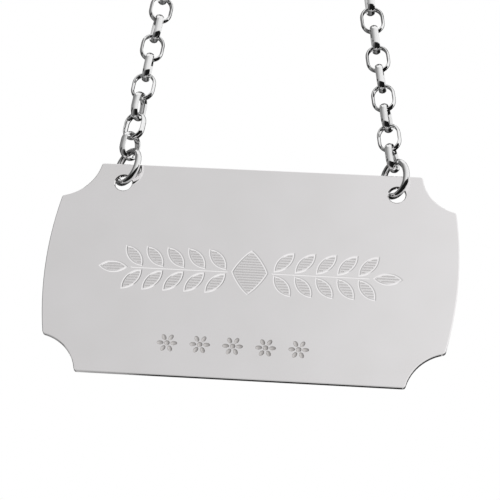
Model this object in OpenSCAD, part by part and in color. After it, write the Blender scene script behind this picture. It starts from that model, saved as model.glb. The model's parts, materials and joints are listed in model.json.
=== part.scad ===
// Silver wine label: an engraver's plate with notched corners, hung by two jump rings
// from a loop of oval belcher links that goes over a decanter's neck.
//
// Millimetres. +X to the right, +Y away from the viewer, +Z up. The origin is the point
// of the loop that lies over its peg, on the middle line of the top link.

/* [Label plate] */
// Width of the plate, measured across the crests of its bowed ends
plate_w = 52; // [46:0.5:60]
// Height of the plate between its straight long edges
plate_h = 29.1; // [26:0.1:34]
// Thickness of the sheet
plate_t = 0.6; // [0.4:0.05:0.8]
// Length of each straight long edge, from notch to notch
edge_len = 41; // [39:0.5:43]
// Height of each bowed end, from notch to notch
end_h = 19.4; // [17:0.1:22]
// Radius of the bowed ends
end_bow_r = 51; // [40:1:80]
// Radius of the hollow notch at each corner
notch_r = 5.8; // [5:0.1:8]
// Diameter of each hanging hole
hole_d = 2.15; // [2.1:0.05:2.6]
// Distance between the centres of the two holes
hole_spacing = 34.9; // [30:0.1:38]
// Distance from the top edge down to the centre of each hole
hole_inset = 2.7; // [2.3:0.05:3]
// Width of the bright cut round each end of a hole
hole_chamfer = 0.12; // [0.05:0.01:0.2]

/* [Jump rings] */
// Diameter of the ring at the middle of its wire
ring_d = 4.45; // [4.2:0.05:5]
// Diameter of the ring's round wire
ring_wire_d = 0.82; // [0.7:0.01:0.86]
// Turn of the left ring, from lying along the plate towards standing square to it
left_ring_turn = 46; // [44:1:60]
// Turn of the right ring, counted the same way
right_ring_turn = 46; // [44:1:60]

/* [Chain] */
// Number of links in each run, between a jump ring and the top link
run_links = 19; // [16:1:28]
// Number of links on each side that bend over the peg, the top link included
crown_links = 5; // [4:1:7]
// Share of the top link that lies to the left of the peg
top_link_share = 0.12; // [0:0.01:0.5]
// Length of a link over its outside
link_len = 4; // [3.8:0.01:4.5]
// Width of a link over its outside
link_w = 3.1; // [2.9:0.05:3.6]
// Thickness of the link's band, seen from its open side
link_t = 0.42; // [0.35:0.01:0.5]
// Width of the link's band, seen from its edge
link_band = 0.95; // [0.8:0.05:1.1]
// Radius of the band's outer face, across its width
outer_crown_r = 0.65; // [0.6:0.05:1.2]
// Radius of the band's flatter inner face, across its width
inner_crown_r = 0.9; // [0.8:0.05:1.2]

/* [Lie of the chain] */
// Largest turn of a left link about the run
left_twist = 42; // [0:1:45]
// Number of links over which the left run's turn comes round again
left_twist_links = 21; // [16:1:40]
// Point of its wave at which the left run's turn starts, in degrees
left_twist_start = 35; // [0:5:180]
// Largest turn of a right link about the run
right_twist = 16; // [0:1:45]
// Number of links over which the right run's turn comes round again
right_twist_links = 20; // [16:1:40]
// Point of its wave at which the right run's turn starts, in degrees
right_twist_start = 0; // [0:5:180]
// Distance from the left run to its ring and hole, to the right of the run
left_ring_shift = 0.3; // [-0.2:0.05:0.35]
// Distance from the right run to its ring and hole, to the right of the run
right_ring_shift = -0.05; // [-0.2:0.05:0.3]

/* [Fit] */
// Play between the inner faces of two links that hang in each other
link_play = 0.22; // [0.2:0.01:0.3]
// Play between a jump ring's wire and the link that carries it
ring_play = 0.35; // [0.3:0.01:0.45]
// Play between a jump ring's wire and the top of its hole
hole_play = 0.45; // [0.4:0.01:0.6]

/* [Hidden] */
$fn = 96;
LEFT = -1;
RIGHT = 1;

// Links
pitch = link_len - 2 * link_t - link_play;
half_len = (link_len - link_t) / 2;
link_end_r = (link_w - link_t) / 2;
link_straight = link_len - link_w;

// Where a ring and its hole lie below the lower end of the first link's pitch
ring_top_drop = half_len - link_t / 2 - ring_play - ring_wire_d / 2 - pitch / 2;
ring_low_drop = ring_top_drop + ring_d;
hole_drop = ring_low_drop + hole_d / 2 - ring_wire_d / 2 - hole_play;

// The loop: lean of link j of a side, counted down from the peg. Link 1 of the right side is
// the top link.
function link_lean(side, j, run_lean) =
    let (crown_step = (90 - run_lean) / (crown_links + 0.5),
         along = j - 0.5 - side * top_link_share)
    max(run_lean, 90 - crown_step * along);
function link_step(side, j, run_lean) =
    let (lean = link_lean(side, j, run_lean))
    pitch * [side * sin(lean), -cos(lean)];
// The point that the links of a side reach, from the left end of the top link
function reach(side, j, run_lean) =
    j == 0 ? -top_link_share * link_step(RIGHT, 1, run_lean)
        : reach(side, j - 1, run_lean) + link_step(side, j, run_lean);

// The holes: the right side holds the top link too, so it has one link more than the left
function last_link(side) = side == RIGHT ? run_links + 1 : run_links;
function ring_shift(side) = side == LEFT ? left_ring_shift : right_ring_shift;
function hole_at(side, run_lean) =
    reach(side, last_link(side), run_lean)
        + hole_drop * [side * sin(run_lean), -cos(run_lean)]
        + ring_shift(side) * [cos(run_lean), side * sin(run_lean)];
function hole_span(run_lean) = norm(hole_at(RIGHT, run_lean) - hole_at(LEFT, run_lean));

// Both runs lean in by the one angle at which the loop closes on the two holes
function closing_lean(low, high, passes) =
    let (middle = (low + high) / 2)
    passes == 0 ? middle
        : hole_span(middle) > hole_spacing ? closing_lean(low, middle, passes - 1)
        : closing_lean(middle, high, passes - 1);
run_lean = closing_lean(0, 45, 40);

// The plate hangs a little askew, because its right run is the longer one
left_hole = hole_at(LEFT, run_lean);
right_hole = hole_at(RIGHT, run_lean);
plate_roll = atan2(left_hole[1] - right_hole[1], right_hole[0] - left_hole[0]);
hole_middle = (left_hole + right_hole) / 2;

// Corners of the plate: each notch runs from the end of a long edge to that of a bowed end
bow_centre = end_bow_r - plate_w / 2;
edge_point = [edge_len / 2, plate_h / 2];
end_point = [sqrt(pow(end_bow_r, 2) - pow(end_h / 2, 2)) - bow_centre, end_h / 2];
notch_chord = edge_point - end_point;
notch_rise = sqrt(pow(notch_r, 2) - pow(norm(notch_chord) / 2, 2));
notch_out = [notch_chord[1], -notch_chord[0]] / norm(notch_chord);
notch_centre = (edge_point + end_point) / 2 + notch_rise * notch_out;
plate_drop = plate_h / 2 - hole_inset;

function two_digits(k) = k < 10 ? str("0", k) : str(k);
function link_name(run, k) = str(run, "_link_", two_digits(k));

// Outline of the plate: straight long edges, bowed ends, four hollow corners
module plate_outline() {
    difference() {
        intersection() {
            square([2 * plate_w, plate_h], center = true);
            translate([-bow_centre, 0]) circle(end_bow_r);
            translate([bow_centre, 0]) circle(end_bow_r);
        }
        for (x = [-1, 1], z = [-1, 1])
            translate([x * notch_centre[0], z * notch_centre[1]]) circle(notch_r);
    }
}

// A hanging hole with its bright cut at both faces, along Z
module hanging_hole() {
    cut_depth = hole_chamfer;
    cylinder(h = 2 * plate_t, d = hole_d, center = true);
    for (turn = [0, 180])
        rotate([turn, 0, 0]) translate([0, 0, plate_t / 2 - cut_depth])
            cylinder(h = 2 * cut_depth, d1 = hole_d, d2 = hole_d + 4 * cut_depth);
}

module label_plate() {
    color("gainsboro")
    translate([hole_middle[0], 0, hole_middle[1]]) rotate([0, plate_roll, 0])
    rotate([90, 0, 0])
    difference() {
        translate([0, -plate_drop, -plate_t / 2]) linear_extrude(plate_t) plate_outline();
        for (side = [LEFT, RIGHT])
            translate([side * hole_spacing / 2, 0, 0]) hanging_hole();
    }
}

// Puts a piece on a run: j counts links down from the peg, drop lowers it along the run
module on_run(side, j, drop) {
    lean = link_lean(side, j, run_lean);
    start = reach(side, j - 1, run_lean);
    translate([start[0], 0, start[1]]) rotate([0, -side * lean, 0])
        translate([0, 0, -drop]) children();
}

// A jump ring of round wire, turned about the run that carries it
module jump_ring(side, turn) {
    color("silver")
    on_run(side, last_link(side), pitch + ring_top_drop + ring_d / 2)
    translate([ring_shift(side), 0, 0]) rotate([0, 0, -turn]) rotate([90, 0, 0])
    rotate_extrude() translate([ring_d / 2, 0]) circle(d = ring_wire_d);
}

// Section of a link's band: round on the outer face, flatter on the inner, with narrow edges
module band_section() {
    intersection() {
        square([2 * link_t, link_band], center = true);
        translate([link_t / 2 - outer_crown_r, 0]) circle(outer_crown_r);
        translate([inner_crown_r - link_t / 2, 0]) circle(inner_crown_r);
    }
}

// A link with round ends and short straight sides, standing along Z, open to the front
module oval_link() {
    rotate([90, 0, 0]) rotate([0, 0, 90])
    for (turn = [0, 180]) rotate([0, 0, turn]) {
        translate([link_straight / 2, 0, 0]) rotate([0, 0, -90])
            rotate_extrude(angle = 180) translate([link_end_r, 0]) band_section();
        translate([-link_straight / 2, link_end_r, 0]) rotate([90, 0, 90])
            linear_extrude(link_straight) band_section();
    }
}

// Turn of link k about its run: a wave that dies out towards the peg
function link_twist(side, k) =
    let (fade = 1 - (k - 1) / run_links)
    side == LEFT
        ? fade * left_twist * cos(left_twist_start + 360 * (k - 1) / left_twist_links)
        : fade * right_twist * cos(right_twist_start + 360 * (k - 1) / right_twist_links);

// Link k of a run, counted up from its jump ring: odd links show their edge to the front
module run_link(side, k) {
    j = last_link(side) + 1 - k;
    edge_turn = k % 2 == 1 ? 90 : 0;
    color("silver")
    on_run(side, j, pitch / 2) rotate([0, 0, edge_turn - link_twist(side, k)]) oval_link();
}

module top_link() {
    run_link(RIGHT, run_links + 1);
}

label_plate();
jump_ring(LEFT, left_ring_turn);  // left_jump_ring
jump_ring(RIGHT, right_ring_turn);  // right_jump_ring
top_link();
for (k = [1 : run_links]) {
    run_link(LEFT, k);
    run_link(RIGHT, k);
}
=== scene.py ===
"""Silver wine label: a notched plate on two jump rings and a loop of oval belcher links."""

import json
import math
from typing import NamedTuple

import bmesh
import bpy
import numpy as np
from bpy.props import FloatProperty, FloatVectorProperty, IntProperty, PointerProperty
from mathutils import Matrix, Vector


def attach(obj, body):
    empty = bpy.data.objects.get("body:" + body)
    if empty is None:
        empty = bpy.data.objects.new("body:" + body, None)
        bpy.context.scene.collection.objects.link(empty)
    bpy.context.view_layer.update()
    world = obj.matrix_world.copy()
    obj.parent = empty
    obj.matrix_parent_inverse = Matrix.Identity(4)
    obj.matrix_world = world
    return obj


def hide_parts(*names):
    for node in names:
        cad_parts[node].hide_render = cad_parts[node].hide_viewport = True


bl_info = {
    "name": "Silver Wine Label",
    "version": (1, 0, 0),
    "blender": (4, 5, 0),
    "location": "View3D > Sidebar > Wine Label",
    "description": "Dresses the wine label's plate, jump rings and chain, and lights them",
    "category": "Object",
}

# The frame comes first, so that pieces and defaults can be taken from it
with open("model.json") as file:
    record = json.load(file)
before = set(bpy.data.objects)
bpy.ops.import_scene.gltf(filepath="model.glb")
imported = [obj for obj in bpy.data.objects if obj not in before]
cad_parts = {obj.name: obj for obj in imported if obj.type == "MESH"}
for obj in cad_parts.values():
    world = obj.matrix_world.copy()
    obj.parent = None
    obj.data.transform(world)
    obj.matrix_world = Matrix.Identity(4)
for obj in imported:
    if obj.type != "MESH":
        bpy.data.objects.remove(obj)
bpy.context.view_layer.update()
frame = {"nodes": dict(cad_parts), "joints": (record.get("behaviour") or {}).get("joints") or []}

MM = 0.001
LINKS = sorted(name for name in frame["nodes"] if "link" in name)
RINGS = sorted(name for name in frame["nodes"] if "ring" in name)


def linear(hex_colour):
    """Linear RGBA of an sRGB hex colour."""
    parts = [int(hex_colour[i : i + 2], 16) / 255 for i in (1, 3, 5)]
    parts = [p / 12.92 if p <= 0.04045 else ((p + 0.055) / 1.055) ** 2.4 for p in parts]
    return (*parts, 1.0)


# Settings


class PlateSettings(bpy.types.PropertyGroup):
    """Sizes and colour of the plate and its engraving."""

    rim_round: FloatProperty(
        name="Rim rounding",
        description="How far the buffing has rounded the front rim of the sheet",
        default=0.12 * MM,
        unit="LENGTH",
        precision=5,
    )
    back_round: FloatProperty(
        name="Back rim rounding",
        description="How far the back rim of the sheet is eased",
        default=0.04 * MM,
        unit="LENGTH",
        precision=5,
    )
    tip_round: FloatProperty(
        name="Tip rounding",
        description="How far the eight tips beside the notches are worn round",
        default=0.3 * MM,
        unit="LENGTH",
        precision=5,
    )
    spray_half: FloatProperty(
        name="Half spray",
        description="Length of the engraved spray from its middle to each end",
        default=19.0 * MM,
        unit="LENGTH",
        precision=5,
    )
    leaf_pairs: IntProperty(
        name="Leaf pairs",
        description="Pairs of leaves on each half of the spray",
        default=5,
        min=1,
    )
    leaf_length: FloatProperty(
        name="Leaf length",
        description="Length of an engraved leaf",
        default=3.4 * MM,
        unit="LENGTH",
        precision=5,
    )
    leaf_width: FloatProperty(
        name="Leaf width",
        description="Greatest width of an engraved leaf",
        default=1.45 * MM,
        unit="LENGTH",
        precision=5,
    )
    cut_width: FloatProperty(
        name="Bright cut width",
        description="Width of the bright cuts that outline the ornament",
        default=0.26 * MM,
        unit="LENGTH",
        precision=5,
    )
    cut_depth: FloatProperty(
        name="Bright cut depth",
        description="Depth of the bright cuts",
        default=0.05 * MM,
        unit="LENGTH",
        precision=5,
    )
    hatch_pitch: FloatProperty(
        name="Hatching pitch",
        description="Distance between two lines of the hatching",
        default=0.36 * MM,
        unit="LENGTH",
        precision=5,
    )
    hatch_width: FloatProperty(
        name="Hatching width",
        description="Width of one line of the hatching",
        default=0.2 * MM,
        unit="LENGTH",
        precision=5,
    )
    hatch_depth: FloatProperty(
        name="Hatching depth",
        description="Depth of one line of the hatching",
        default=0.035 * MM,
        unit="LENGTH",
        precision=5,
    )
    floret_pitch: FloatProperty(
        name="Floret pitch",
        description="Distance between two of the punched florets",
        default=4.1 * MM,
        unit="LENGTH",
        precision=5,
    )
    colour: FloatVectorProperty(
        name="Sheet colour",
        description="Colour of the buffed silver sheet",
        subtype="COLOR",
        size=4,
        default=linear("#F8F6F7"),
    )


class ChainSettings(bpy.types.PropertyGroup):
    """Sizes and colours of the links and jump rings."""

    band_thickness: FloatProperty(
        name="Band thickness",
        description="Thickness of a link's band at its crown",
        default=0.42 * MM,
        unit="LENGTH",
        precision=5,
    )
    outer_crown: FloatProperty(
        name="Outer crown",
        description="Radius of the band's round outer face",
        default=0.65 * MM,
        unit="LENGTH",
        precision=5,
    )
    inner_crown: FloatProperty(
        name="Inner crown",
        description="Radius of the band's flatter inner face",
        default=0.9 * MM,
        unit="LENGTH",
        precision=5,
    )
    edge_round: FloatProperty(
        name="Edge rounding",
        description="How far the tumbling has rounded the edges of the band",
        default=0.045 * MM,
        unit="LENGTH",
        precision=5,
    )
    colour: FloatVectorProperty(
        name="Link colour",
        description="Colour of the tumbled silver links",
        subtype="COLOR",
        size=4,
        default=linear("#F5F5F5"),
    )
    wire_colour: FloatVectorProperty(
        name="Wire colour",
        description="Colour of the jump rings' drawn wire",
        subtype="COLOR",
        size=4,
        default=linear("#F3F3F3"),
    )


class StageSettings(bpy.types.PropertyGroup):
    """Place of the camera, and the floor and the surroundings."""

    azimuth: FloatProperty(
        name="Azimuth",
        description="How far to the right of straight in front the camera stands",
        default=math.radians(6.67),
        subtype="ANGLE",
    )
    elevation: FloatProperty(
        name="Elevation",
        description="How far above the label the camera stands, or below it if negative",
        default=math.radians(-26.77),
        subtype="ANGLE",
    )
    roll: FloatProperty(
        name="Roll",
        description="Turn of the camera about its own line of sight",
        default=math.radians(2.54),
        subtype="ANGLE",
    )
    aim: FloatVectorProperty(
        name="Aim",
        description="Point that the camera looks at",
        default=(-0.60 * MM, 0.0, -62.97 * MM),
        subtype="TRANSLATION",
    )
    distance: FloatProperty(
        name="Distance",
        description="Distance from the camera to its aim",
        default=369 * MM,
        unit="LENGTH",
    )
    focal_pixels: FloatProperty(
        name="Focal length",
        description="Focal length in pixels of the square picture",
        default=2946.0,
    )
    floor_height: FloatProperty(
        name="Floor height",
        description="Height of the floor, below the camera",
        default=-0.34,
        unit="LENGTH",
    )
    floor_colour: FloatVectorProperty(
        name="Floor colour",
        description="Colour of the pale floor",
        subtype="COLOR",
        size=4,
        default=linear("#EDEDED"),
    )
    sky_level: FloatProperty(
        name="Sky level",
        description="Strength of the white surroundings on matt surfaces",
        default=0.6,
    )


# Materials

# Width of the patches over which silver's colour wanders
BLOOM = 6 * MM
# Values between which nearly all of a noise texture lies
NOISE_LOW = 0.3
NOISE_HIGH = 0.7


def add_node(tree, kind, links=None, **settings):
    """Adds a node; links maps an input to a value or to another node's output."""
    node = tree.nodes.new(kind)
    for key, value in settings.items():
        setattr(node, key, value)
    for socket, value in (links or {}).items():
        if isinstance(value, bpy.types.NodeSocket):
            tree.links.new(value, node.inputs[socket])
        else:
            node.inputs[socket].default_value = value
    return node


def silver(name, colour, shade, grain, gloss, relief, turn=0.0):
    """Silver whose polish shows as a grain.

    The grain's three lengths and its height, relief, are in millimetres, and it is turned about
    Y. Real polishing marks are too fine for the render, so the grain is as coarse as it needs to
    be to show. The colour wanders towards shade, and gloss is the range of the roughness.
    """
    material = bpy.data.materials.new(name)
    material.use_nodes = True
    tree = material.node_tree
    shader = tree.nodes["Principled BSDF"]
    shader.inputs["Metallic"].default_value = 1.0
    place = add_node(tree, "ShaderNodeTexCoord").outputs["Object"]
    turned = add_node(
        tree, "ShaderNodeMapping", {"Vector": place, "Rotation": (0.0, turn, 0.0)}
    )
    across = add_node(
        tree,
        "ShaderNodeMapping",
        {
            "Vector": turned.outputs["Vector"],
            "Scale": tuple(1 / (length * MM) for length in grain),
        },
    )
    lines = add_node(
        tree,
        "ShaderNodeTexNoise",
        {"Vector": across.outputs["Vector"], "Scale": 1.0, "Detail": 3.0},
    ).outputs["Fac"]
    bloom = add_node(
        tree,
        "ShaderNodeTexNoise",
        {"Vector": place, "Scale": 1 / BLOOM, "Detail": 2.0},
    ).outputs["Fac"]
    tint = add_node(
        tree,
        "ShaderNodeMix",
        {"Factor": bloom, "A": colour, "B": linear(shade)},
        data_type="RGBA",
    )
    polish = add_node(
        tree,
        "ShaderNodeMapRange",
        {
            "Value": lines,
            "From Min": NOISE_LOW,
            "From Max": NOISE_HIGH,
            "To Min": gloss[0],
            "To Max": gloss[1],
        },
    )
    bump = add_node(
        tree, "ShaderNodeBump", {"Height": lines, "Strength": 1.0, "Distance": relief * MM}
    )
    tree.links.new(tint.outputs["Result"], shader.inputs["Base Color"])
    tree.links.new(polish.outputs["Result"], shader.inputs["Roughness"])
    tree.links.new(bump.outputs["Normal"], shader.inputs["Normal"])
    return material


# Mesh tools


def new_piece(name, mesh):
    """A mesh object of that name, in the scene."""
    piece = bpy.data.objects.new(name, mesh)
    bpy.context.scene.collection.objects.link(piece)
    return piece


def lit_group(name):
    """The group of pieces that a studio card's tone is meant for."""
    group = bpy.data.collections.get("lit_" + name)
    return group or bpy.data.collections.new("lit_" + name)


def node_points(name):
    """The points of a CAD node, one to a row."""
    mesh = frame["nodes"][name].data
    points = np.empty(len(mesh.vertices) * 3)
    mesh.vertices.foreach_get("co", points)
    return points.reshape(-1, 3)


def round_edges(body, edges, radius, segments):
    """Rounds edges of a mesh that is being made."""
    bmesh.ops.bevel(
        body, geom=edges, offset=radius, segments=segments, profile=0.5, affect="EDGES"
    )


def cut_along(tool, path, closed, width, depth, taper=0.0):
    """Adds to tool the V-shaped prism that a graver takes out along a path on the plate."""
    # The prism stands proud of the plate, so that the cut is open at the top
    lift = depth / 4
    reach = width / 2 * (1 + lift / depth)
    longest_mitre = 2.0
    count = len(path)
    rings = []
    for i, point in enumerate(path):
        before = path[i - 1] if closed or i else point
        after = path[(i + 1) % count] if closed or i < count - 1 else point
        into = (point - before).normalized() if point != before else (after - point).normalized()
        away = (after - point).normalized() if point != after else into
        along = (into + away).normalized()
        mitre = 1 / max(1 / longest_mitre, along.dot(into))
        side = Vector((-along.y, along.x)) * reach * mitre
        rings.append(
            [
                tool.verts.new((*(point + side), lift)),
                tool.verts.new((*point, -depth)),
                tool.verts.new((*(point - side), lift)),
            ]
        )
    sides = ((0, 1), (1, 2), (2, 0))
    pairs = zip(rings, rings[1:] + rings[:1]) if closed else zip(rings, rings[1:])
    for one, two in pairs:
        for a, b in sides:
            tool.faces.new((one[a], one[b], two[b], two[a]))
    if closed:
        return
    for ring, point, inner in ((rings[0], path[0], path[1]), (rings[-1], path[-1], path[-2])):
        tip = tool.verts.new((*(point + (point - inner).normalized() * taper), lift))
        for a, b in sides:
            tool.faces.new((ring[a], ring[b], tip))


def hatch_lines(path, pitch, inset):
    """Level lines inside a closed path, kept clear of it by inset."""
    shortest = 0.2 * MM
    # Where the path is nearly level, the clearance along a line stops growing
    least_slope = 0.3
    lines = []
    top = max(p.y for p in path)
    row = math.ceil((min(p.y for p in path) + inset) / pitch)
    while row * pitch < top - inset:
        y = row * pitch
        hits = []
        for a, b in zip(path, path[1:] + path[:1]):
            if (a.y > y) != (b.y > y):
                x = a.x + (b.x - a.x) * (y - a.y) / (b.y - a.y)
                slope = abs(b.y - a.y) / (b - a).length
                hits.append((x, inset / max(slope, least_slope)))
        hits.sort()
        for (start, gap_a), (end, gap_b) in zip(hits[::2], hits[1::2]):
            if end - gap_b - start - gap_a > shortest:
                lines.append([Vector((start + gap_a, y)), Vector((end - gap_b, y))])
        row += 1
    return lines


def cut_out(piece, tools):
    """Takes the tools out of a piece for good; the new faces keep the tools' finish."""
    cutters = []
    for name, tool, material in tools:
        bmesh.ops.recalc_face_normals(tool, faces=tool.faces)
        mesh = bpy.data.meshes.new(name)
        tool.to_mesh(mesh)
        tool.free()
        mesh.materials.append(material)
        cutter = new_piece(name, mesh)
        cutters.append(cutter)
        cut = piece.modifiers.new(name, "BOOLEAN")
        cut.operation = "DIFFERENCE"
        cut.solver = "EXACT"
        cut.material_mode = "TRANSFER"
        cut.object = cutter
    graph = bpy.context.evaluated_depsgraph_get()
    cut_mesh = bpy.data.meshes.new_from_object(piece.evaluated_get(graph))
    piece.modifiers.clear()
    piece.data = cut_mesh
    for cutter in cutters:
        bpy.data.objects.remove(cutter)


# Label plate

# Order of the finishes on the plate's own faces
BUFFED, PAINTED_SHADE, SATIN = range(3)

# A direction with a share of more than SQUARE along Y stands square to the sheet, and one with
# less than LEVEL lies along it. Only the bright cuts round the holes are oblique, and those in
# the tops of the holes look down.
SQUARE = 0.99
LEVEL = 0.1
OBLIQUE = (0.3, 0.95)
LOOKS_DOWN = -0.25

# Tips beside the notches, and the least angle between the walls that meet there
TIPS = 8
TIP_ANGLE = math.radians(25)
TIP_SEGMENTS = 5
RIM_SEGMENTS = 6

# Spray: half the lozenge's width and height, how far its sides swell, and the points on each
LOZENGE_HALF = (2.2 * MM, 3.0 * MM)
LOZENGE_SWELL = 0.5
LOZENGE_POINTS = 6
# Leaves: lean from the stem, distance from it, distance of the first pair from the lozenge, the
# room for the leaf at the end, in its lengths, its distance from the last pair, in steps between
# pairs, and the points on each side of a leaf
LEAF_LEAN = math.radians(50)
LEAF_OFF_STEM = 0.34 * MM
LEAF_START = 0.9 * MM
END_LEAF_ROOM = 1.05
END_LEAF_STEP = 0.65
LEAF_POINTS = 9
# Stem: its gap at both ends, its share of the other cuts' width and depth, and its tapered ends
STEM_GAP = 0.65 * MM
STEM_SHARE = 0.8
STEM_TAPER = 0.2 * MM
# Hatching: its margin inside the bright cuts and its tapered ends
HATCH_MARGIN = 0.1 * MM
HATCH_TAPER = 0.05 * MM

# Florets: their number, the middle of their row from the plate's middle, the number of petals, the
# half axes of a petal and of the eye, and the distance of a petal's middle from the eye
FLORETS = 5
FLORET_ROW = (-1.1 * MM, -10.2 * MM)
PETALS = 6
PETAL = (0.42 * MM, 0.27 * MM, 0.14 * MM)
EYE = (0.34 * MM, 0.34 * MM, 0.16 * MM)
PETAL_OUT = 0.86 * MM

# Angle from which an edge of the plate is sharp: the flat sheet stays flat beside its rims
PLATE_SHARP = math.radians(5)


class PlateFinishes:
    """Finishes of the plate, with their grain along it."""

    def __init__(self, settings, turn):
        # Sterling sheet, buffed along its length: an even mirror with very faint hairlines
        self.sheet = silver(
            "Buffed silver sheet",
            settings.colour,
            "#F1EFEF",
            grain=(9, 0.3, 0.25),
            gloss=(0.05, 0.09),
            relief=0.00002,
            turn=turn,
        )
        # Bright cutting: a polished graver leaves facets that flash white
        self.bright = silver(
            "Bright-cut silver",
            settings.colour,
            "#F4F2F2",
            grain=(2, 0.2, 0.2),
            gloss=(0.06, 0.12),
            relief=0.00002,
            turn=turn,
        )
        # Line hatching: shallow cuts left unpolished, so they read as a grey, silky fill
        self.hatched = silver(
            "Hatched silver",
            linear("#E4E2E2"),
            "#D2CFCF",
            grain=(0.6, 0.15, 0.15),
            gloss=(0.2, 0.34),
            relief=0.0004,
            turn=turn,
        )
        # Punched silver: sunk by a steel punch, a little duller and darker than the sheet
        self.punched = silver(
            "Punched silver",
            linear("#DEDBDA"),
            "#B9B5B3",
            grain=(0.3, 0.3, 0.3),
            gloss=(0.12, 0.22),
            relief=0.0003,
            turn=turn,
        )
        # Painted shade: dark silver on the faces in the tops of the holes that look down
        self.tarnish = silver(
            "Tarnished silver",
            linear("#4A4746"),
            "#2E2B2A",
            grain=(0.3, 0.3, 0.3),
            gloss=(0.1, 0.2),
            relief=0.0001,
            turn=turn,
        )
        # Satin back: finished with fine emery along the sheet and left unbuffed, a soft sheen
        self.satin = silver(
            "Satin silver back",
            linear("#F2F0F0"),
            "#E6E3E3",
            grain=(7, 0.2, 0.2),
            gloss=(0.34, 0.46),
            relief=0.0004,
            turn=turn,
        )


def plate_place(points):
    """Matrix from the plate's own axes, right, up and out of its front, to the frame."""
    swing = next(joint for joint in frame["joints"] if joint["name"] == "plate_swing")
    right = Vector(swing["axis"]).normalized()
    if right.x < 0:
        right = -right
    out = Vector((0.0, -1.0, 0.0))
    up = out.cross(right)
    turn = Matrix((right, up, out)).transposed()
    own = points @ np.array(turn)
    low, high = own.min(axis=0), own.max(axis=0)
    middle = Vector(((low[0] + high[0]) / 2, (low[1] + high[1]) / 2, high[2]))
    return Matrix.Translation(turn @ middle) @ turn.to_4x4()


def plate_mesh(settings, points, finishes):
    """The sheet with its worn tips and rounded rims, before it is engraved."""
    solid = frame["nodes"]["label_plate"].data
    mesh = bpy.data.meshes.new("engraved_plate")
    mesh.from_pydata(points.tolist(), [], [face.vertices[:] for face in solid.polygons])
    for finish in (finishes.sheet, finishes.tarnish, finishes.satin):
        mesh.materials.append(finish)
    body = bmesh.new()
    body.from_mesh(mesh)
    bmesh.ops.remove_doubles(body, verts=body.verts, dist=0.0005 * MM)
    bmesh.ops.dissolve_limit(
        body,
        angle_limit=math.radians(0.5),
        verts=body.verts,
        edges=body.edges,
        delimit={"NORMAL"},
    )
    body.normal_update()
    for face in body.faces:
        # The faces in the tops of the holes that look down get the painted shade
        if OBLIQUE[0] < abs(face.normal.y) < OBLIQUE[1] and face.normal.z < LOOKS_DOWN:
            face.material_index = PAINTED_SHADE
        elif face.normal.y > SQUARE:
            face.material_index = SATIN
        else:
            face.material_index = BUFFED
    tips = [
        edge
        for edge in body.edges
        if len(edge.link_faces) == 2
        and abs((edge.verts[0].co - edge.verts[1].co).normalized().y) > SQUARE
        and edge.calc_face_angle() > TIP_ANGLE
    ]
    if len(tips) != TIPS:
        raise RuntimeError(f"the plate should have {TIPS} tips beside its notches, not {len(tips)}")
    round_edges(body, tips, settings.tip_round, TIP_SEGMENTS)
    for side, rounding in ((-1, settings.rim_round), (1, settings.back_round)):
        body.normal_update()
        rims = [
            edge
            for edge in body.edges
            if len(edge.link_faces) == 2
            and max(side * face.normal.y for face in edge.link_faces) > SQUARE
            and min(abs(face.normal.y) for face in edge.link_faces) < LEVEL
        ]
        round_edges(body, rims, rounding, RIM_SEGMENTS)
    body.to_mesh(mesh)
    body.free()
    return mesh


def lozenge_path():
    """Points round the lozenge in the middle of the spray, whose sides swell a little."""
    half_w, half_h = LOZENGE_HALF
    corners = ((1, 0), (0, 1), (-1, 0), (0, -1))
    path = []
    for a, b in zip(corners, corners[1:] + corners[:1]):
        for i in range(LOZENGE_POINTS):
            t = i / LOZENGE_POINTS
            swell = 1 + LOZENGE_SWELL * t * (1 - t)
            x = a[0] + (b[0] - a[0]) * t
            y = a[1] + (b[1] - a[1]) * t
            path.append(Vector((x * half_w * swell, y * half_h * swell)))
    return path


def leaf_path(settings, base, angle):
    """Points round a leaf that is pointed at both ends: two arcs, from its base at that angle."""
    length, width = settings.leaf_length, settings.leaf_width
    bow = (length * length / 4 + width * width / 4) / width
    half = math.asin(length / 2 / bow)
    path = []
    for sign in (1, -1):
        for i in range(LEAF_POINTS):
            turn = half * (2 * i / LEAF_POINTS - 1)
            x = bow * math.sin(turn) * sign
            y = (bow * math.cos(turn) - (bow - width / 2)) * -sign
            path.append(Vector((x + length / 2, y)))
    spin = Matrix.Rotation(angle, 2)
    return [base + spin @ p for p in path]


def spray_paths(settings):
    """Closed outlines of the engraved spray, a lozenge and leaves both ways, and its two stems."""
    outlines = [lozenge_path()]
    stems = []
    start = LOZENGE_HALF[0] + LEAF_START
    room = settings.spray_half - settings.leaf_length * END_LEAF_ROOM - start
    step = room / (settings.leaf_pairs - 1 + END_LEAF_STEP)
    for side in (1, -1):
        ahead = 0.0 if side > 0 else math.pi
        for k in range(settings.leaf_pairs):
            for up in (1, -1):
                base = Vector((side * (start + k * step), up * LEAF_OFF_STEM))
                outlines.append(leaf_path(settings, base, ahead + side * up * LEAF_LEAN))
        end = settings.spray_half - settings.leaf_length
        outlines.append(leaf_path(settings, Vector((side * end, 0.0)), ahead))
        near = Vector((side * (LOZENGE_HALF[0] + STEM_GAP), 0.0))
        far = Vector((side * (end - STEM_GAP), 0.0))
        stems.append([near, far])
    return outlines, stems


def spray_tools(settings):
    """What the graver takes out for the spray: its bright cuts and its hatching."""
    cuts, hatching = bmesh.new(), bmesh.new()
    outlines, stems = spray_paths(settings)
    width, depth = settings.cut_width, settings.cut_depth
    for path in outlines:
        cut_along(cuts, path, True, width, depth)
        for line in hatch_lines(path, settings.hatch_pitch, width / 2 + HATCH_MARGIN):
            cut_along(hatching, line, False, settings.hatch_width, settings.hatch_depth, HATCH_TAPER)
    for line in stems:
        cut_along(cuts, line, False, width * STEM_SHARE, depth * STEM_SHARE, STEM_TAPER)
    return cuts, hatching


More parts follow.
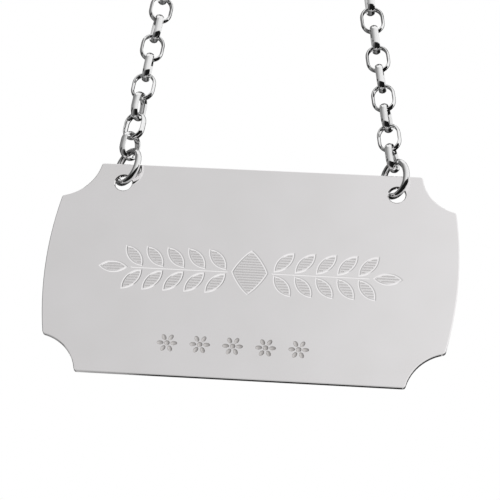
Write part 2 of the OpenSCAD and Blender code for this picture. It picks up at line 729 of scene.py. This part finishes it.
def floret_tool(settings):
    """What the punch sinks for the row of florets: petals round an eye."""
    punches = bmesh.new()
    hollows = [(PETAL, PETAL_OUT, 2 * math.pi * k / PETALS) for k in range(PETALS)]
    hollows.append((EYE, 0.0, 0.0))
    for k in range(FLORETS):
        along = (k - (FLORETS - 1) / 2) * settings.floret_pitch
        middle = Matrix.Translation((along + FLORET_ROW[0], FLORET_ROW[1], 0.0))
        for half_axes, out, angle in hollows:
            spin = Matrix.Rotation(angle, 4, "Z")
            shift = Matrix.Translation((out, 0.0, 0.0))
            bmesh.ops.create_uvsphere(
                punches,
                u_segments=20,
                v_segments=10,
                radius=1.0,
                matrix=middle @ spin @ shift @ Matrix.Diagonal((*half_axes, 1.0)),
            )
    return punches


class LABEL_OT_plate(bpy.types.Operator):
    """Makes the buffed plate with its worn rims, engraved spray and punched florets."""

    bl_idname = "wine_label.plate"
    bl_label = "Label Plate"

    def execute(self, context):
        settings = context.scene.wine_label_plate
        points = node_points("label_plate")
        place = plate_place(points)
        finishes = PlateFinishes(settings, -place.to_euler().y)
        plate = new_piece("engraved_plate", plate_mesh(settings, points, finishes))
        cuts, hatching = spray_tools(settings)
        punches = floret_tool(settings)
        for tool in (cuts, hatching, punches):
            bmesh.ops.transform(tool, matrix=place, verts=tool.verts)
        cut_out(
            plate,
            (
                ("bright_cuts", cuts, finishes.bright),
                ("hatching", hatching, finishes.hatched),
                ("punches", punches, finishes.punched),
            ),
        )
        plate.data.shade_smooth()
        plate.data.set_sharp_from_angle(angle=PLATE_SHARP)
        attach(plate, "label_plate")
        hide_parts("label_plate")
        lit_group("plate").objects.link(plate)
        return {"FINISHED"}


# Jump rings


class LABEL_OT_jump_rings(bpy.types.Operator):
    """Gives the two jump rings the finish of drawn silver wire."""

    bl_idname = "wine_label.jump_rings"
    bl_label = "Jump Rings"

    def execute(self, context):
        settings = context.scene.wine_label_chain
        # Drawn wire, bent up and tumbled: a soft mirror with tiny dents
        wire = silver(
            "Drawn silver wire",
            settings.wire_colour,
            "#E6E6E6",
            grain=(0.5, 0.5, 0.5),
            gloss=(0.05, 0.11),
            relief=0.0006,
        )
        for name in RINGS:
            ring = frame["nodes"][name]
            ring.data.materials.clear()
            ring.data.materials.append(wire)
            lit_group("rings").objects.link(ring)
        return {"FINISHED"}


# Chain

# Points across each face and round each edge of a band, and steps round each end of a link
FACE_POINTS = 11
EDGE_POINTS = 5
END_STEPS = 22


def link_place(points):
    """Matrix from a link's own axes, width, band and length, to the frame, and its size."""
    # A link is least wide along its band, then across, then along its length
    band, width, length = np.linalg.eigh(np.cov((points - points.mean(axis=0)).T))[1].T
    turn = np.column_stack((width, band, length))
    if np.linalg.det(turn) < 0:
        turn[:, 1] *= -1
    own = points @ turn
    low, high = own.min(axis=0), own.max(axis=0)
    place = Matrix(turn.tolist()).to_4x4()
    place.translation = Vector(turn @ ((low + high) / 2))
    return place, high - low


def band_section(settings, band):
    """Points round the section of a link's band: outwards and along the band."""
    flat = band / 2 - settings.edge_round
    wide = np.linspace(-flat, flat, FACE_POINTS)

    def crown(radius, b):
        return settings.band_thickness / 2 - radius + math.sqrt(radius * radius - b * b)

    outer = [(crown(settings.outer_crown, b), b) for b in wide]
    inner = [(-crown(settings.inner_crown, b), b) for b in wide[::-1]]
    middle = (outer[-1][0] + inner[0][0]) / 2
    half = (outer[-1][0] - inner[0][0]) / 2
    edge = []
    for k in range(1, EDGE_POINTS + 1):
        turn = math.pi * k / (EDGE_POINTS + 1)
        edge.append((half * math.cos(turn), flat + settings.edge_round * math.sin(turn)))
    near = [(middle + r, b) for r, b in edge]
    far = [(middle - r, -b) for r, b in edge]
    return outer + near + inner + far


def link_mesh(name, settings, size):
    """A link with round ends and short straight sides, along its own third axis."""
    end_r = (size[0] - settings.band_thickness) / 2
    straight = (size[2] - size[0]) / 2
    section = band_section(settings, size[1])
    verts = []
    for end in (0, 1):
        shift = straight * (1 - 2 * end)
        for i in range(END_STEPS + 1):
            turn = math.pi * (end + i / END_STEPS)
            x, z = math.cos(turn), math.sin(turn)
            for r, b in section:
                verts.append((x * (end_r + r), b, z * (end_r + r) + shift))
    rows, wide = 2 * (END_STEPS + 1), len(section)
    faces = []
    for i in range(rows):
        j = (i + 1) % rows
        for k in range(wide):
            m = (k + 1) % wide
            faces.append((i * wide + k, i * wide + m, j * wide + m, j * wide + k))
    mesh = bpy.data.meshes.new(name)
    mesh.from_pydata(verts, [], faces)
    body = bmesh.new()
    body.from_mesh(mesh)
    bmesh.ops.recalc_face_normals(body, faces=body.faces)
    body.to_mesh(mesh)
    body.free()
    mesh.shade_smooth()
    return mesh


class LABEL_OT_chain(bpy.types.Operator):
    """Makes every link of the chain with its rounded band, in place of the plain solids."""

    bl_idname = "wine_label.chain"
    bl_label = "Chain"

    def execute(self, context):
        settings = context.scene.wine_label_chain
        # Belcher links, tumbled bright: a clean mirror with slight ripples from the shot
        tumbled = silver(
            "Tumbled silver band",
            settings.colour,
            "#EAEAEA",
            grain=(0.6, 0.6, 0.6),
            gloss=(0.04, 0.09),
            relief=0.0008,
        )
        for name in LINKS:
            place, size = link_place(node_points(name))
            mesh = link_mesh("polished_" + name, settings, size)
            mesh.materials.append(tumbled)
            mesh.transform(place)
            link = new_piece("polished_" + name, mesh)
            body = "top_link" if name == "top_link" else "row_" + name[-2:]
            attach(link, body)
            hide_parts(name)
            lit_group("chain").objects.link(link)
        return {"FINISHED"}


# Stage

# The picture is square: its side in pixels, and the width of the camera's sensor in millimetres
IMAGE_SIDE = 500
SENSOR = 36.0

# The floor reaches this far from the origin, in metres, and its mottle has patches this wide
FLOOR_REACH = 2.0
MOTTLE = 80 * MM

# The soft lamp, in metres and watts
KEY_PLACE = (0.35, -0.5, 0.6)
KEY_AIM = (0.0, 0.0, -0.06)
KEY_SIZE = 0.5
KEY_POWER = 4.0

# Planes of the studio cards, in metres
LEFT = -1.1
RIGHT = 1.6
FRONT = -0.9
BACK = 0.7
FLOOR = -0.335
TOP = 1.9
# Planes just in front of the back and just below and above the floor, for cards that overlap
NEAR = 0.699
UNDER = -0.336
MID = -0.3355
OVER = -0.334


class Card(NamedTuple):
    """A card that only the silver sees: two corners, and tones at its low and its high end."""

    name: str
    low: tuple
    high: tuple
    chain: tuple
    rings: tuple
    plate: tuple


# Groups of silver that see a card in tones of their own, and the factor by which the layer for
# each is drawn in towards the label, so that no two layers lie in one plane
LIT_GROUPS = ("chain", "rings", "plate")
LAYER_STEP = 0.9997

# The cards in front are a diffuser that brightens to the right, and the others are flags and
# floor cards. The dark ones draw the black outlines of the chain and rings. The plate is one flat
# mirror, so most are pale for it, and it reads as silver from behind and from above too. The edge
# patch and the two notch cards are small flags that draw the dark line of its lower edge and of
# its lower right notch.
CARDS = (
    Card("front_left", (LEFT, FRONT, FLOOR), (-0.25, FRONT, TOP), (0.3, 0.63), (0.3, 0.63), (0.45, 0.63)),
    Card("front_middle", (-0.25, FRONT, FLOOR), (-0.1, FRONT, TOP), (0.63, 0.7), (0.63, 0.7), (0.63, 0.7)),
    Card("front_near", (-0.1, FRONT, FLOOR), (0.06, FRONT, TOP), (0.7, 0.88), (0.7, 0.88), (0.7, 0.88)),
    Card("front_right", (0.06, FRONT, FLOOR), (RIGHT, FRONT, TOP), (0.88, 1.0), (0.88, 1.0), (0.88, 1.0)),
    Card("left", (LEFT, FRONT, 0.05), (LEFT, BACK, 2.0), (0.3, 0.2), (0.22, 0.1), (0.3, 0.02)),
    Card("left_low", (LEFT, FRONT, FLOOR), (LEFT, BACK, 0.05), (0.1, 0.02), (0.06, 0.01), (0.4, 0.5)),
    Card("front_floor", (-1.6, FRONT, FLOOR), (RIGHT, -0.7, FLOOR), (0.4, 0.9), (0.1, 0.02), (0.5, 0.9)),
    Card("floor_card", (-1.6, -0.7, UNDER), (RIGHT, BACK, UNDER), (0.01, 0.01), (0.01, 0.01), (0.2, 1.0)),
    Card("left_floor", (LEFT, -0.7, MID), (-0.12, BACK, MID), (0.48, 0.04), (0.01, 0.01), (0.02, 0.57)),
    Card("under_floor", (-0.16, -0.02, FLOOR), (0.1, BACK, FLOOR), (0.2, 0.2), (0.04, 0.04), (0.35, 0.5)),
    Card("edge_patch", (-0.14, 0.36, OVER), (0.02, 0.64, OVER), (0.2, 0.2), (0.04, 0.04), (0.02, 0.02)),
    Card("notch_patch", (0.2, NEAR, OVER), (0.42, NEAR, 0.16), (0.02, 0.02), (0.02, 0.02), (0.01, 0.02)),
    Card("notch_floor", (0.1, 0.47, OVER), (0.24, NEAR, OVER), (0.01, 0.01), (0.01, 0.01), (0.02, 0.02)),
    Card("back_left", (LEFT, BACK, FLOOR), (-0.1, BACK, 1.1), (0.1, 0.06), (0.1, 0.06), (0.75, 0.04)),
    Card("back_right", (0.2, BACK, FLOOR), (0.75, BACK, 1.1), (0.02, 0.03), (0.02, 0.03), (0.02, 0.6)),
    Card("back_far", (0.75, BACK, FLOOR), (RIGHT, BACK, 0.05), (1.0, 1.0), (0.03, 0.03), (0.6, 0.7)),
    Card("right_low", (RIGHT, FRONT, FLOOR), (RIGHT, BACK, 0.05), (1.0, 1.0), (0.03, 0.03), (0.9, 0.7)),
    Card("back_low", (-0.1, BACK, FLOOR), (0.2, BACK, 0.15), (0.08, 0.04), (0.08, 0.04), (0.4, 0.85)),
    Card("back_high", (-0.1, BACK, 0.45), (0.2, BACK, 1.1), (0.1, 0.06), (0.1, 0.06), (0.4, 0.85)),
)


def card_glow(name, low, high, tones, clear):
    """Light that runs from one tone to the other: along X, or along Y on a card square to X.

    A clear card also shows what is behind it.
    """
    material = bpy.data.materials.new(name)
    material.use_nodes = True
    tree = material.node_tree
    tree.nodes.remove(tree.nodes["Principled BSDF"])
    place = add_node(tree, "ShaderNodeNewGeometry").outputs["Position"]
    axis = next(axis for axis in range(3) if low[axis] != high[axis])
    along = add_node(tree, "ShaderNodeSeparateXYZ", {"Vector": place}).outputs[axis]
    tone = add_node(
        tree,
        "ShaderNodeMapRange",
        {
            "Value": along,
            "From Min": low[axis],
            "From Max": high[axis],
            "To Min": tones[0],
            "To Max": tones[1],
        },
    )
    glow = add_node(tree, "ShaderNodeEmission", {"Strength": tone.outputs["Result"]})
    face = glow.outputs["Emission"]
    if clear:
        window = add_node(tree, "ShaderNodeBsdfTransparent").outputs["BSDF"]
        face = add_node(tree, "ShaderNodeAddShader", {0: face, 1: window}).outputs["Shader"]
    tree.links.new(face, tree.nodes["Material Output"].inputs["Surface"])
    return material


def add_card(card):
    """Puts up a card: one layer for each group of silver, whose light only that group sees."""
    first, second = (axis for axis in range(3) if card.low[axis] != card.high[axis])
    corners = [list(card.low), list(card.low), list(card.high), list(card.low)]
    corners[1][first] = card.high[first]
    corners[3][second] = card.high[second]
    for layer, group in enumerate(LIT_GROUPS):
        name = f"{card.name}_for_{group}"
        mesh = bpy.data.meshes.new(name)
        mesh.from_pydata(corners, [], [(0, 1, 2, 3)])
        # The layer behind is opaque and the others are clear, so that each group sees its own
        mesh.materials.append(
            card_glow(name, card.low, card.high, getattr(card, group), clear=layer > 0)
        )
        piece = new_piece(name, mesh)
        piece.scale = (LAYER_STEP**layer,) * 3
        piece.visible_camera = False
        piece.visible_diffuse = False
        piece.visible_shadow = False
        piece.visible_transmission = False
        piece.light_linking.receiver_collection = lit_group(group)


def add_floor(settings):
    """Lays the pale floor under the label."""
    # Matt painted floor: pale, with a slight mottle over hand-wide patches
    paint = bpy.data.materials.new("Matt floor paint")
    paint.use_nodes = True
    tree = paint.node_tree
    shader = tree.nodes["Principled BSDF"]
    shader.inputs["Roughness"].default_value = 0.8
    place = add_node(tree, "ShaderNodeTexCoord").outputs["Object"]
    mottle = add_node(tree, "ShaderNodeTexNoise", {"Vector": place, "Scale": 1 / MOTTLE})
    tint = add_node(
        tree,
        "ShaderNodeMix",
        {"Factor": mottle.outputs["Fac"], "A": settings.floor_colour, "B": linear("#E6E6E6")},
        data_type="RGBA",
    )
    tree.links.new(tint.outputs["Result"], shader.inputs["Base Color"])
    mesh = bpy.data.meshes.new("floor")
    corners = [
        (x * FLOOR_REACH, y * FLOOR_REACH, settings.floor_height)
        for x, y in ((-1, -1), (1, -1), (1, 1), (-1, 1))
    ]
    mesh.from_pydata(corners, [], [(0, 1, 2, 3)])
    mesh.materials.append(paint)
    new_piece("floor", mesh)


def add_surroundings(scene, settings):
    """White all round: full white to the eye and to the silver, softer on matt surfaces."""
    world = bpy.data.worlds.new("White studio")
    scene.world = world
    world.use_nodes = True
    tree = world.node_tree
    ray = add_node(tree, "ShaderNodeLightPath").outputs
    seen = add_node(tree, "ShaderNodeMath", {0: ray["Is Camera Ray"], 1: ray["Is Glossy Ray"]})
    seen = add_node(
        tree,
        "ShaderNodeMath",
        {0: seen.outputs[0], 1: ray["Is Transmission Ray"]},
        use_clamp=True,
    )
    level = add_node(
        tree,
        "ShaderNodeMath",
        {0: seen.outputs[0], 1: 1 - settings.sky_level, 2: settings.sky_level},
        operation="MULTIPLY_ADD",
    )
    sky = tree.nodes["Background"]
    sky.inputs["Color"].default_value = linear("#FFFFFF")
    tree.links.new(level.outputs[0], sky.inputs["Strength"])


def add_lamp(scene):
    """Hangs the soft lamp to the right in front, which the silver doesn't mirror."""
    lamp = bpy.data.lights.new("soft_key", "AREA")
    lamp.size = KEY_SIZE
    lamp.energy = KEY_POWER
    key = bpy.data.objects.new("soft_key", lamp)
    key.location = KEY_PLACE
    ahead = Vector(KEY_AIM) - key.location
    key.rotation_euler = ahead.to_track_quat("-Z", "Y").to_euler()
    key.visible_glossy = False
    scene.collection.objects.link(key)


def add_camera(scene, settings):
    """Sets up the camera below the label, to the right and a little rolled."""
    lens = bpy.data.cameras.new("camera")
    lens.sensor_width = SENSOR
    lens.lens = settings.focal_pixels / IMAGE_SIDE * SENSOR
    lens.clip_start = 0.01
    lens.clip_end = 20.0
    level = math.cos(settings.elevation)
    back = Vector(
        (
            math.sin(settings.azimuth) * level,
            -math.cos(settings.azimuth) * level,
            math.sin(settings.elevation),
        )
    )
    right = Vector((0, 0, 1)).cross(back).normalized()
    up = back.cross(right)
    rolled = right * math.cos(settings.roll) + up * math.sin(settings.roll)
    upright = back.cross(rolled)
    camera = bpy.data.objects.new("camera", lens)
    view = Matrix((rolled, upright, back)).transposed().to_4x4()
    view.translation = Vector(settings.aim) + back * settings.distance
    camera.matrix_world = view
    scene.collection.objects.link(camera)
    scene.camera = camera


class LABEL_OT_stage(bpy.types.Operator):
    """Makes the floor, the studio cards, the light and the camera."""

    bl_idname = "wine_label.stage"
    bl_label = "Stage"

    def execute(self, context):
        scene = context.scene
        settings = scene.wine_label_stage
        scene.view_settings.view_transform = "Standard"
        add_floor(settings)
        for card in CARDS:
            add_card(card)
        add_surroundings(scene, settings)
        add_lamp(scene)
        add_camera(scene, settings)
        return {"FINISHED"}


# Panel and registration


class LABEL_PT_build(bpy.types.Panel):
    """Lists the pieces of the label and their settings."""

    bl_idname = "LABEL_PT_build"
    bl_label = "Wine Label"
    bl_space_type = "VIEW_3D"
    bl_region_type = "UI"
    bl_category = "Wine Label"

    def draw(self, context):
        for operators, settings in (
            ((LABEL_OT_plate,), context.scene.wine_label_plate),
            ((LABEL_OT_jump_rings, LABEL_OT_chain), context.scene.wine_label_chain),
            ((LABEL_OT_stage,), context.scene.wine_label_stage),
        ):
            box = self.layout.box()
            for operator in operators:
                box.operator(operator.bl_idname)
            for name in settings.__annotations__:
                box.prop(settings, name)


SETTINGS = {
    "wine_label_plate": PlateSettings,
    "wine_label_chain": ChainSettings,
    "wine_label_stage": StageSettings,
}
CLASSES = (
    *SETTINGS.values(),
    LABEL_OT_plate,
    LABEL_OT_jump_rings,
    LABEL_OT_chain,
    LABEL_OT_stage,
    LABEL_PT_build,
)


def register():
    for cls in CLASSES:
        bpy.utils.register_class(cls)
    for name, cls in SETTINGS.items():
        setattr(bpy.types.Scene, name, PointerProperty(type=cls))


def unregister():
    for name in SETTINGS:
        delattr(bpy.types.Scene, name)
    for cls in reversed(CLASSES):
        bpy.utils.unregister_class(cls)


def main():
    register()
    bpy.ops.wine_label.stage()
    bpy.ops.wine_label.plate()
    bpy.ops.wine_label.jump_rings()
    bpy.ops.wine_label.chain()


if __name__ == "__main__":
    main()
